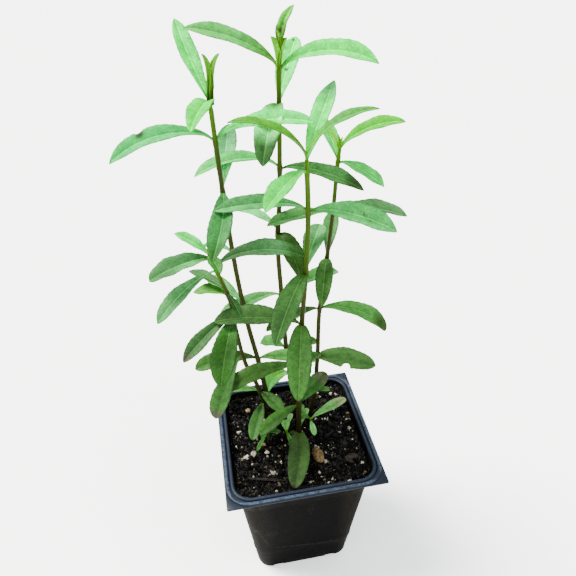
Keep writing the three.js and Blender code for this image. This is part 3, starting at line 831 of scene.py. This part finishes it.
stems = [
    Stem("stem_tall_left", (1.75, 1.2), 298, [
        (-10, 23, 91), (-15, 22, 121), (-19, 22, 150), (-24, 21, 181), (-28, 20, 216), (-31, 19, 255),
        (-33, 19, 294), (-34, 18, 318),
    ], [
        Leaf(316, 205, 89, 22.5, 6, 32, tone=(76, 146, 0), foot=(0.75, (44, 80, 0)),
             form=(48, 3, 0.25, 0.42), bud=(0.8, 1.3)),
        Leaf(316, 20, 76, 22.5, 6, 36, tone=(88, 164, 0), foot=(0.75, (50, 86, 0)),
             form=(48, 3, 0.25, 0.42), bud=(0.9, 1.3)),
        Leaf(315, 111, 46, 48, 9.5, 8, 0, -1.5),
        Leaf(317, -109, -7, 32, 11, 30, tone=(14, 176, 30), form=(24, 1, 0.5, 0.7)),
        Leaf(298, -171, -4, 51, 10.4, 62, -30, tone=(20, 145, 59), foot=(0.4, (26, 124, 44)),
             bite=(0.66, 1, 0.9, 3.6), scars=[(0.66, 3.6, 2.4)]),
        Leaf(298, -17, 12, 50, 10.5, 42, 28),
        # Its pale foot, over most of its length, is painted light against the shade that falls on it.
        Leaf(272, 77, 32, 45, 12.5, 14, tone=(34, 92, 45), foot=(0.8, (86, 198, 110))),
        # Its tip is darkened as painted shade.
        Leaf(271, -103, -21, 45, 12, 36, 0, -3, tone=(32, 93, 38), tip=(0.75, (26, 70, 22))),
        Leaf(235, 125, -15, 34, 9, 20),
        Leaf(235, -8, 3, 23, 8, 24),
        Leaf(199, 124, 6, 35, 9, 20, -20, tone=(66, 138, 66)),
        Leaf(198, -10, -34, 17, 6.5, 20),
        Leaf(152, 178, -3, 41, 12.5, 42, -20),
        Leaf(152, -16, 2, 38, 10.5, 30, 20, tone=(70, 130, 54)),
        Leaf(117, 49, 6, 26, 15, 50, 0, -3, tone=(40, 104, 34), tip=(0.3, (48, 104, 22)),
             form=(20, 1, 1.2, 0.45)),
    ]),
    Stem("stem_tall_middle", (1.7, 1.15), 279, [
        (6, 19, 91), (3, 21, 125), (0, 23, 156), (-2, 25, 201), (-3, 26, 235), (-1, 27, 262), (0, 28, 290),
        (1, 30, 326), (2, 30, 342),
    ], [
        Leaf(338, 36, 60, 19, 7.2, 26, 0, -1.5, tone=(56, 150, 26), foot=(0.7, (34, 76, 2)),
             scars=[(0.36, 0, 1.6), (0.52, 0.3, 1.2)], form=(20, 1, 0.5, 0.5), bud=(0.9, 0.6)),
        Leaf(340, 205, 74, 5, 2, 10, tone=(84, 150, 0)),
        Leaf(326, 200, 79, 17, 5.4, 24, tone=(70, 144, 0), form=(45, 1, 0.6, 0.3), bud=(1, 0.6)),
        Leaf(326, 15, 75, 16, 5.2, 24, tone=(72, 154, 0), form=(45, 1, 0.6, 0.3), bud=(0.95, 0.6)),
        Leaf(327, 177, 25, 48, 9.6, 36, -42, tone=(54, 141, 52), foot=(0.5, (44, 100, 22))),
        Leaf(326, -15, 5, 48, 11.5, 62, 34, foot=(0.28, (38, 110, 20))),
        # Its tone is lifted as painted light against the shadow it lies in, and its tip darkened as painted
        # shade.
        Leaf(311, -112, -26, 41, 13, 50, tone=(84, 212, 98), foot=(0.35, (30, 88, 18)),
             tip=(0.58, (30, 66, 24)), form=(24, 1, 0.75, 0.6)),
        Leaf(310, 66, 35, 47, 12.5, 8, bite=(0.62, -1, 1.4, 3),
             scars=[(0.48, 0.2, 1.4), (0.63, 4.4, 2), (0.76, -4.6, 1.7), (0.94, -0.5, 1)]),
        Leaf(279, 180, -1, 45, 11.6, 56, -12, tone=(42, 146, 56)),
        # Its tip is darkened as painted shadow.
        Leaf(278, -24, -10, 46, 11, 32, 25, tone=(40, 90, 36), tip=(0.7, (20, 46, 8))),
        Leaf(243, 128, 3, 40, 10, 24, tone=(62, 156, 72)),
        Leaf(240, -70, -33, 30, 13, 52, tone=(37, 68, 19), form=(24, 1, 0.6, 0.7)),
        Leaf(199, 172, -30, 50, 13.5, 40, -14, tone=(60, 128, 58)),
        Leaf(198, 20, 6, 42, 13, 20, tone=(42, 100, 38), form=(22, 1, 0.9, 0.4)),
        Leaf(157, 150, 6, 18, 11.5, 24, tone=(48, 112, 38), form=(20, 1, 1.2, 0.4)),
        Leaf(156, 10, 2, 22, 8, 30, 20),
    ]),
    Stem("stem_front", (1.7, 1.25), 228, [
        (4, 4, 91), (4, 3, 125), (4, 2, 159), (6, 1, 195), (8, 0, 229), (9, -1, 262), (8, -2, 293),
    ], [
        Leaf(293, 178, 29, 41, 8, 60, -10, tone=(46, 116, 4), foot=(0.5, (50, 102, 0))),
        Leaf(293, -8, 35, 40, 8, 60, 12, tone=(36, 116, 22), foot=(0.55, (44, 124, 0))),
        Leaf(291, 50, 49, 43, 11, 5, tip=(0.7, (44, 124, 56))),
        Leaf(287, -132, -9, 37, 11.5, 30, tone=(14, 160, 36)),
        Leaf(266, 180, 6, 47, 11, 28, -20, tone=(52, 132, 60), dark_half=(1, 0.84)),
        Leaf(265, -27, -6, 45, 13, 34, 28, tone=(45, 130, 56), scars=[(0.62, -1.5, 0.9), (0.7, 1, 0.9)]),
        Leaf(228, -124, -25, 45, 13.5, 22, 0, 0.5, tone=(41, 80, 29), tip=(0.4, (29, 60, 20)),
             scars=[(0.4, 3, 0.8)], form=(26, 1, 0.75, 0.7)),
        Leaf(230, 66, 10, 43, 13, 16, tone=(54, 117, 56)),
        Leaf(192, 173, 7, 51, 15.5, 28, -14, tone=(41, 73, 29), tip=(0.72, (33, 62, 22))),
        Leaf(192, -104, -21, 47, 14.5, 38, scars=[(0.7, -1, 0.8)], form=(28, 1, 0.7, 0.6)),
        Leaf(159, -174, -8, 48, 12.5, 44, -12, tone=(44, 79, 26), tip=(0.45, (38, 68, 20))),
        Leaf(159, 30, 0, 18, 8, 20),
        Leaf(124, -156, -14, 32, 9, 28, -20, tone=(34, 72, 17), dark_half=(-1, 0.8)),
        Leaf(125, 29, 27, 28, 11, 26, 20, tone=(34, 74, 22), tip=(0.62, (52, 58, 34))),
        Leaf(96, -104.5, 1.5, 45, 14.5, 24, 0, -1.5, tone=(36, 61, 21), tip=(0.94, (34, 32, 14)),
             dark_half=(1, 0.8), form=(24, 1, 0.62, 0.5)),
        Leaf(100, 73, 0, 23, 5, 10, tone=(50, 94, 36), form=(20, 1, 2.6, 0.7)),
        Leaf(98, 61, 3, 21, 4.5, 10, tone=(76, 126, 62), form=(20, 1, 2.2, 0.6)),
    ]),
    Stem("stem_right", (1.6, 1.1), 252, [
        (16, 22, 91), (19, 22, 114), (21, 23, 146), (22, 24, 183), (26, 24, 222), (29, 25, 250),
        (31, 26, 278), (32, 26, 287),
    ], [
        Leaf(286, 150, 84, 9, 3, 4, tone=(80, 150, 0), form=(50, 1, 0.4, 0.7), bud=(0.9, 0)),
        Leaf(286, -30, 80, 8, 3, 4, tone=(80, 150, 0), form=(50, 1, 0.4, 0.7), bud=(0.9, 0)),
        Leaf(285, -15, 27, 37, 8.6, 55, 30, tone=(50, 150, 6), foot=(0.2, (74, 138, 10))),
        # Its lime tone is partly its own and partly lifted as painted light, for it lies in shade.
        Leaf(284, 140, 60, 17, 5, 20, tone=(84, 160, 4)),
        Leaf(280, 95, 33, 31, 8.5, 14, foot=(0.2, (70, 130, 10))),
        Leaf(280, -42, -17, 28.5, 9.4, 24, 16, tone=(30, 140, 48), dark_half=(1, 0.88)),
        Leaf(252, -22, 0, 41, 11.5, 26, 15, tone=(54, 101, 52), bite=(0.62, 1, 2.4, 3)),
        Leaf(251, -172, -2, 39, 12, 8, -8, tone=(52, 104, 46)),
        Leaf(222, 70, 22, 39, 10, 14),
        Leaf(221, -108, -12, 38, 10.2, 34, tone=(40, 76, 25), foot=(0.4, (60, 104, 40)),
             scars=[(0.75, 1.5, 0.9)], form=(22, 1, 0.7, 0.65)),
        Leaf(185, -162, -4, 38, 10, 30, -10),
        Leaf(185, -30, -9, 43, 11.5, 72, 20, tone=(48, 102, 38), tip=(0.72, (26, 50, 6)),
             form=(26, 2, 1.1, 0.6)),
        Leaf(146, -22, -2, 39, 16, 6, 18, tone=(43, 76, 30), bite=(0.52, 1, 4.5, 5.5),
             form=(22, 1, 0.65, 0.6)),
        Leaf(146, 162, -5, 22, 9, 26),
        Leaf(115, 182, 0, 9, 4.5, 20),
        Leaf(115, -5, 2, 11, 5, 20),
        Leaf(117, 50, 22, 13, 6, 20),
    ]),
    Stem("stem_short_left", (1.55, 1.1), 224, [
        (-15.5, 23.5, 91), (-18, 22, 115), (-22, 19, 135), (-28, 17, 155), (-32, 14, 185), (-34, 12, 208),
        (-39, 10, 228), (-43, 9, 241),
    ], [
        Leaf(240, 163, 38, 22, 7, 24, -20, tone=(45, 184, 66), foot=(0.3, (90, 150, 40))),
        Leaf(240, -74, -3, 17, 7.5, 20, tone=(30, 90, 20), foot=(0.25, (96, 150, 30)),
             form=(22, 1, 1, 0.8)),
        Leaf(238, -163, -5, 34, 13.5, 30, -14, tone=(53, 122, 56), tip=(0.4, (38, 86, 38)),
             dark_half=(1, 0.66), form=(24, 1, 0.85, 0.55)),
        Leaf(231, -9, 7, 50, 12, 66, 20, tone=(53, 103, 55), foot=(0.7, (30, 60, 27)),
             tip=(0.72, (28, 60, 16))),
        Leaf(230, -151, -23, 42, 10, 40, -20, tone=(52, 112, 56), foot=(0.35, (70, 140, 66)),
             form=(24, 1, 1.6, 0.75)),
        Leaf(215, 132, 6, 30, 8, 20, tone=(38, 84, 32)),
        Leaf(214, -72, -16, 20, 4.5, 20, tone=(22, 54, 16)),
        Leaf(212, 152, -4, 22, 11, 20, tone=(48, 106, 22)),
        Leaf(196, -149, -21, 39, 10, 30, -20, tone=(35, 71, 28), tip=(0.8, (46, 52, 34)),
             dark_half=(1, 0.88)),
        # Its paler foot is painted light against the shade that falls on it.
        Leaf(194, -106, -17, 45, 15, 38, tone=(22, 58, 8), foot=(0.5, (52, 104, 44)),
             form=(28, 1, 1.1, 0.6)),
        Leaf(163, -120, -20, 44, 12.5, 30, tone=(35, 72, 23), tip=(0.86, (46, 52, 34)),
             form=(26, 1, 1.9, 0.6)),
        Leaf(124, 174, 8, 21, 6, 30, -10, tone=(54, 100, 44)),
        Leaf(123, -62, 2, 25, 10, 30, tone=(40, 76, 26)),
        Leaf(111, -111, -3, 32, 9.6, 30, tone=(40, 75, 29)),
    ]),
    Stem("shoot_right", (0.8, 0.7), 96, [(14, 13, 91), (14, 12, 96), (14, 11, 101)], [
        Leaf(99, 18, 11, 30, 7.5, 10, 10, tone=(74, 126, 60), tip=(0.6, (84, 100, 62))),
        Leaf(98, -90, -4, 13, 4.5, 20, tone=(76, 132, 64)),
        Leaf(99, 160, 30, 8, 4, 20),
    ]),
    Stem("shoot_middle", (0.8, 0.7), 96, [(-4, 4, 91), (-4, 4, 96), (-5, 4, 101)], [
        Leaf(99, 87, 14, 9, 6.5, 20, tone=(66, 120, 50)),
        Leaf(97, -6, -6, 6.5, 4, 20, tone=(26, 48, 10)),
        Leaf(98, -76, -11, 12, 4.5, 20),
        Leaf(99, 68, 4, 16, 4, 10, tone=(84, 128, 70), form=(20, 1, 2.4, 0.6)),
    ]),
    Stem("shoot_left", (0.8, 0.7), 96, [(-17, 7, 91), (-17, 7, 96), (-18, 6, 100)], [
        Leaf(98, -128, -12, 15, 3, 24),
        Leaf(98, -10, 4, 9, 4, 20),
        Leaf(98, -141, 0, 6, 4, 20),
        Leaf(98, 10, 20, 7, 3.5, 20),
    ]),
]
root_heights = (-11.7, -5, 2)
curve_samples = 24
stem_sides = 14
stem_steps = 150
shoot_steps = 40
node_swelling = 0.22
node_reach = 1.6
ridge_share = 0.05
end_share = 0.985
end_narrowing = 0.7


def curve_through(points):
    """Centripetal curve through points, as (samples, share of its length at each sample)."""
    points = [np.array(point, float) for point in points]
    ends = [2 * points[0] - points[1], 2 * points[-1] - points[-2]]
    chain = [ends[0], *points, ends[1]]
    samples = []
    for before, start, end, after in zip(chain, chain[1:], chain[2:], chain[3:]):
        spans = [max(np.linalg.norm(b - a) ** 0.5, 1e-4)
                 for a, b in ((before, start), (start, end), (end, after))]
        leave = ((start - before) / spans[0] - (end - before) / (spans[0] + spans[1])
                 + (end - start) / spans[1]) * spans[1]
        arrive = ((end - start) / spans[1] - (after - start) / (spans[1] + spans[2])
                  + (after - end) / spans[2]) * spans[1]
        t = np.linspace(0, 1, curve_samples, endpoint=False)[:, None]
        samples.append((2 * t ** 3 - 3 * t ** 2 + 1) * start + (t ** 3 - 2 * t ** 2 + t) * leave
                       + (3 * t ** 2 - 2 * t ** 3) * end + (t ** 3 - t ** 2) * arrive)
    samples.append(points[-1][None])
    samples = np.concatenate(samples)
    lengths = np.concatenate([[0], np.cumsum(np.linalg.norm(np.diff(samples, axis=0), axis=1))])
    return samples, lengths / lengths[-1]


def on_curve(curve, share):
    """Where a curve is at a share of its length."""
    samples, shares = curve
    return np.array([np.interp(share, shares, samples[:, axis]) for axis in range(3)])


def stem_tube(curve, radii, node_heights):
    """Points and faces of a stem, a little thicker at its nodes, with faint ridges and a narrowed end."""
    steps = shoot_steps if radii[0] < 1 else stem_steps
    rings = []
    for step in range(steps + 1):
        share = step / steps
        centre = on_curve(curve, share)
        tangent = on_curve(curve, min(1, share + 0.01)) - on_curve(curve, max(0, share - 0.01))
        tangent /= np.linalg.norm(tangent)
        side = np.cross((0, 1, 0), tangent)
        side /= np.linalg.norm(side)
        front = np.cross(tangent, side)
        swelling = max(math.exp(-((centre[2] - height) / node_reach) ** 2) for height in node_heights)
        radius = (radii[0] + (radii[1] - radii[0]) * share) * (1 + node_swelling * swelling)
        if share > end_share:
            radius *= end_narrowing
        ring = []
        for corner in range(stem_sides):
            angle = corner / stem_sides * 2 * math.pi
            ridge = radius * (1 + ridge_share * math.cos(angle * stem_sides / 2))
            ring.append(centre + side * ridge * math.cos(angle) + front * ridge * math.sin(angle))
        rings.append(np.array(ring))
    return loft(rings, on_curve(curve, 0), on_curve(curve, 1))


# Stems are brown at the foot and olive up to their woody top, green above it and lime at the very end
woody_tones = [(91, (20, 18, 5)), (140, (31, 34, 4)), (220, (38, 45, 4)), (300, (36, 47, 3))]
green_tone = np.array((40, 62, 2))
young_tone = np.array((52, 88, 0))
young_length = 26
woody_fade = 6


def tone_at(tones, height):
    """The display colour between the tones given for two heights."""
    heights = [tone[0] for tone in tones]
    return tuple(float(np.interp(height, heights, [tone[1][band] for tone in tones])) for band in range(3))


def stem_colour(stem, height):
    """A stem's colour at a height."""
    young = max(0, 1 - (stem.path[-1][2] - height) / young_length)
    green = min(1, max(0, (height - stem.woody_top) / woody_fade))
    tone = np.array(tone_at(woody_tones, height)) * (1 - green) + green_tone * green
    return display(*(tone * (1 - young) + young_tone * young))


def stem_finish():
    """Stem skin in its painted tones, with fine darker streaks along it."""
    finish = Finish("marigold_stem")
    streak = finish.grain(0.7, 3, 0.6, finish.drawn_out(0.12))
    colour = finish.blend(finish.between(streak, 0.4, 0.7) * 0.35, finish.tint(), display(14, 15, 6))
    return finish.surface(colour, 0.55, streak, 0.08, 0.05)


stem_material = stem_finish()


def add_stalk(stem, curve):
    """The stem itself, in its node's stead."""
    points, faces = stem_tube(curve, stem.radii, sorted({leaf.height for leaf in stem.leaves}))
    stalk = Heap()
    stalk.add(points, faces, [stem_colour(stem, point[2]) for point in points])
    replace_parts(stalk.piece(stem.name + "_stalk", stem_material), stem.name)


# Leaves
# They stand in opposite pairs at the nodes, short-stalked, narrow and finely toothed, with a sunken midrib,
# and the youngest are still folded upright in a bud. A stem's leaves are one piece, set with the stem.

petiole_half_width = 0.65
petiole_share = 0.07
petiole_climb = math.radians(45)
tip_half_width = 0.4
tooth_length = 3.4
tooth_depth = 0.045
blade_thickness = 0.32
edge_thickness = 0.05
rib_depth = 0.55
rib_reach = 0.55
stalk_depth = 0.5


def at_height(curve, height):
    """Where a rising curve is at a height."""
    samples = curve[0]
    return np.array([np.interp(height, samples[:, 2], samples[:, axis]) for axis in range(3)])


def spine(leaf, shares, lateness):
    """Where a leaf's rib runs in its upright plane, as (out, up, slope) at each share of its length."""
    climb = 0 if leaf.bud else petiole_climb
    slopes = climb * np.exp(-shares / petiole_share) - math.radians(leaf.droop) * shares ** lateness
    for _ in range(2):
        middles = (slopes[1:] + slopes[:-1]) / 2
        out = np.concatenate([[0], np.cumsum(np.cos(middles))])
        up = np.concatenate([[0], np.cumsum(np.sin(middles))])
        slopes = slopes + math.radians(leaf.rise) - math.atan2(up[-1], out[-1])
    span = math.hypot(out[-1], up[-1])
    return out * leaf.reach / span, up * leaf.reach / span, slopes


def sheet_faces(rows, count):
    """Faces of a closed thin sheet: its top's rows of points, then its underside's."""
    faces = []
    under = rows * count
    for row in range(rows - 1):
        for column in range(count - 1):
            a = row * count + column
            faces.append((a, a + 1, a + count + 1, a + count))
            faces.append((under + a, under + a + count, under + a + count + 1, under + a + 1))
        left, right = row * count, row * count + count - 1
        faces.append((left, left + count, under + left + count, under + left))
        faces.append((right, under + right, under + right + count, right + count))
    tip = (rows - 1) * count
    for column in range(count - 1):
        faces.append((column, under + column, under + column + 1, column + 1))
        faces.append((tip + column, tip + column + 1, under + tip + column + 1, under + tip + column))
    return faces


def blade(base, leaf, draw):
    """Points, faces, places on the blade in mm (along, across), and each point's colour."""
    teeth = max(3, round(leaf.reach / tooth_length))
    shares = np.linspace(0, 1, 4 * teeth + 1)
    # Shares of the half width, from the left edge to the right one
    columns = np.array([-1, -0.82, -0.6, -0.38, -0.18, -0.06, 0, 0.06, 0.18, 0.38, 0.6, 0.82, 1])
    # Lower leaves are blunter
    bluntness = float(np.interp(leaf.height, (90, 150, 230), (1, 0.6, 0)))
    usual = (draw.uniform(20, 30), 1, 1.2 - 0.1 * bluntness, 0.74 - 0.22 * bluntness)
    fold, lateness, foot_power, tip_power = leaf.form or usual
    fold = math.radians(fold)
    outs, ups, slopes = spine(leaf, shares, lateness)
    turn = math.radians(leaf.heading)
    along = np.array([math.cos(turn), math.sin(turn), 0])
    side = np.array([along[1], -along[0], 0])
    vertical = np.array([0, 0, 1.0])
    peak = foot_power / (foot_power + tip_power)
    widest = peak ** foot_power * (1 - peak) ** tip_power
    twist = math.radians(draw.uniform(-9, 9)) * (not leaf.bud)
    wave_phase = draw.uniform(0, full_turn)
    wave_length = draw.uniform(0.3, 0.5)
    bite_place, bite_side, bite_depth, bite_length = leaf.bite
    tops, undersides, places = [], [], []
    for share, out, lift, slope in zip(shares, outs, ups, slopes):
        # The blade's frame here: across it, and square to it
        out += leaf.bud[1] if leaf.bud else 0
        bow = leaf.sway * math.sin(math.pi * share)
        centre = base + along * out + vertical * lift + side * bow
        tangent = along * math.cos(slope) + vertical * math.sin(slope)
        lean = math.radians(leaf.roll) + twist * (share - 0.4)
        across = side * math.cos(lean) - np.cross(side, tangent) * math.sin(lean)
        normal = np.cross(across, tangent)
        # Its toothed outline
        tooth_phase = (share * teeth) % 1
        tooth = tooth_phase / 0.75 if tooth_phase < 0.8 else (1 - tooth_phase) / 0.25
        toothing = tooth_depth * math.sin(math.pi * share) ** 0.5
        outline = share ** foot_power * (1 - share) ** tip_power / widest
        smallest = petiole_half_width + (tip_half_width - petiole_half_width) * share
        half = max(smallest, leaf.width / 2 * outline * (1 + toothing * (tooth - 0.5)))
        bitten = max(0, 1 - (2 * (share - bite_place) * leaf.reach / bite_length) ** 2) ** 0.5 * bite_depth
        halves = half - np.where(columns * bite_side > 0, min(bitten, half - tip_half_width), 0)
        # Its section: folded at the rib, arched on both sides, waved at the edges, thickest at the rib
        ramp = np.sqrt(columns ** 2 + 0.003) - 0.055
        arch = (0.3 if leaf.bud else 0.09) * np.sin(math.pi * np.abs(columns)) * np.abs(columns) ** 0.5
        wave = 0.07 * math.sin(share / wave_length * 2 * math.pi + wave_phase) * columns ** 3
        surface = halves * (ramp * math.sin(fold) + arch + wave * min(1, 3 * share))
        thick = blade_thickness * (1 - columns ** 2) ** 0.5 + edge_thickness
        rib = rib_depth * (1 - 0.8 * share) * np.exp(-(columns * half / rib_reach) ** 2)
        stalk = stalk_depth * max(0, 1 - share * 6)
        spread = columns * halves * (math.cos(fold) if leaf.bud else 0.97)
        flat = centre + across * spread[:, None]
        tops.append(flat + normal * (surface + thick / 2 + stalk * 0.3)[:, None])
        undersides.append(flat + normal * (surface - thick / 2 - rib - stalk * 0.3)[:, None])
        places.append([(share * leaf.reach, place) for place in columns * halves])
    points = np.array(tops + undersides).reshape(-1, 3)
    places = np.array(places + places).reshape(-1, 2)
    faces = sheet_faces(len(shares), len(columns))
    return points, faces, places, blade_colours(leaf, shares, len(columns), places, draw)


# Leaf colours by the height of the node, the lower leaves darker partly of their own and partly as painted
# shade
leaf_tones_and_height_shade = [
    (95, (36, 76, 22)), (150, (36, 73, 20)), (200, (35, 74, 21)), (230, (40, 102, 44)),
    (262, (43, 137, 56)), (290, (16, 174, 50)), (300, (22, 188, 62)), (345, (16, 186, 42)),
]
scar_tone = np.array((36, 26, 12))


def blade_colours(leaf, shares, count, places, draw):
    """Each point's colour, first the upper side's, with an alpha that tells how specked the leaf is."""
    tone = np.array(leaf.tone or tone_at(leaf_tones_and_height_shade, leaf.height), float) * draw.uniform(0.95, 1.05)
    specked = 1.0 if draw.random() < 0.35 else 0.12
    foot_reach, foot_tone = leaf.foot or (0.15, tone * 0.5 + (20, 30, 0))
    tip_reach, tip_tone = leaf.tip or (0.97, tone * 0.8)
    # One half of some leaves is darkened as painted shade.
    painted_shade_side, painted_shade_depth = leaf.dark_half
    colours = []
    for index, (along, across) in enumerate(places):
        share = shares[index // count % len(shares)]
        shade = tone * (0.8 if index % count in (0, count - 1) else 1)
        shade = shade * (painted_shade_depth if across * painted_shade_side > 0.2 else 1)
        foot = min(1, max(0, 1.5 - 1.5 * share / foot_reach))
        tip = min(1, max(0, (share - tip_reach) / (1 - tip_reach) * 2))
        shade = shade + (np.array(foot_tone) - shade) * foot
        shade = shade + (np.array(tip_tone) - shade) * tip
        for scar_share, scar_across, radius in leaf.scars:
            away = math.hypot(along - scar_share * leaf.reach, across - scar_across) / radius
            shade = shade + (scar_tone - shade) * min(1, max(0, 1.5 - 1.5 * away))
        if index >= len(places) // 2:
            shade = shade * leaf.bud[0] if leaf.bud else shade * 0.85 + (10, 12, 10)
        colours.append((*display(*shade)[:3], specked))
    return colours


# The UV map lays each leaf flat on a sheet of this width, with its rib along the middle
leaf_sheet = 120
specks_per_metre = 520.0


def leaf_finish():
    """Leaf green with a fine mottle, faint side veins, painted shade along the creased midrib and, on some
    leaves, dark specks.
    """
    finish = Finish("marigold_leaf")
    place = finish.node("UVMap", {"uv_map": "leaf"}, {}, "UV")
    along = finish.node("SeparateXYZ", {}, {"Vector": place}, "X") * leaf_sheet
    across = finish.node("SeparateXYZ", {}, {"Vector": place}, "Y") - 0.5
    from_rib = abs(across) * leaf_sheet
    midrib = 1 - finish.between(from_rib, 0.1, 0.45)
    # Painted shadow: a dark line beside the midrib.
    rib_shadow_line = finish.between(from_rib, 0.4, 0.6) - finish.between(from_rib, 0.6, 1.2)
    high_leaf_share = finish.between(finish.axis(finish.place(), "Z"), 130, 230)
    vein_phase = finish.math("PINGPONG", along * 0.3 - from_rib * 0.38, 0.5)
    veins = 1 - finish.between(vein_phase, 0.0, 0.14)
    mottle = finish.between(finish.grain(4, 4, 0.65), 0.38, 0.62)
    fine_grain = finish.between(finish.grain(0.9, 3, 0.7), 0.35, 0.65)
    light = (0.78 + 0.44 * fine_grain) * (1.12 - 0.34 * mottle)
    # Midribs are paler on high leaves, and darkened as painted shade on low ones.
    light = light * (1 + midrib * (0.8 * high_leaf_share - 0.3)) * (1 - 0.2 * rib_shadow_line)
    colour = finish.blend(1.0, finish.tint(), light, "MULTIPLY")
    colour = finish.blend(veins * 0.02, colour, display(110, 150, 84))
    colour = finish.blend(midrib * high_leaf_share * 0.06, colour, display(120, 164, 84))
    cells = {"Vector": finish.place(), "Scale": specks_per_metre}
    speck_distance = finish.node("TexVoronoi", {}, cells, "Distance")
    speck_patch = finish.between(finish.grain(8, 2), 0.5, 0.58)
    specks = (1 - finish.between(speck_distance, 0.1, 0.2)) * speck_patch * finish.tint("Alpha")
    colour = finish.blend(specks * 0.8, colour, display(26, 26, 12))
    relief = finish.grain(0.8, 3) * 0.5 - veins * 0.07 - midrib * 0.35
    return finish.surface(colour, 0.5 + 0.1 * mottle, relief, 0.1, 0.08)


leaf_material = leaf_finish()


def add_leaves(stem, curve, draw):
    """A stem's leaves, in the stead of the same node."""
    foliage = Heap()
    coordinates = []
    for leaf in stem.leaves:
        points, faces, places, colours = blade(at_height(curve, leaf.height), leaf, draw)
        foliage.add(points, faces, colours)
        coordinates.append(places / leaf_sheet + 0.5)
    leaf_piece = foliage.piece(stem.name + "_leaves", leaf_material)
    layer = leaf_piece.data.uv_layers.new(name="leaf")
    corner_points = np.zeros(len(leaf_piece.data.loops), int)
    leaf_piece.data.loops.foreach_get("vertex_index", corner_points)
    layer.data.foreach_set("uv", np.concatenate(coordinates)[corner_points].ravel())
    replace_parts(leaf_piece, stem.name)


leaf_draw = random.Random(21)
for stem in stems:
    roots = [(*stem.path[0][:2], soil_level + height) for height in root_heights]
    curve = curve_through([*roots, *stem.path[1:]])
    add_stalk(stem, curve)
    add_leaves(stem, curve, leaf_draw)
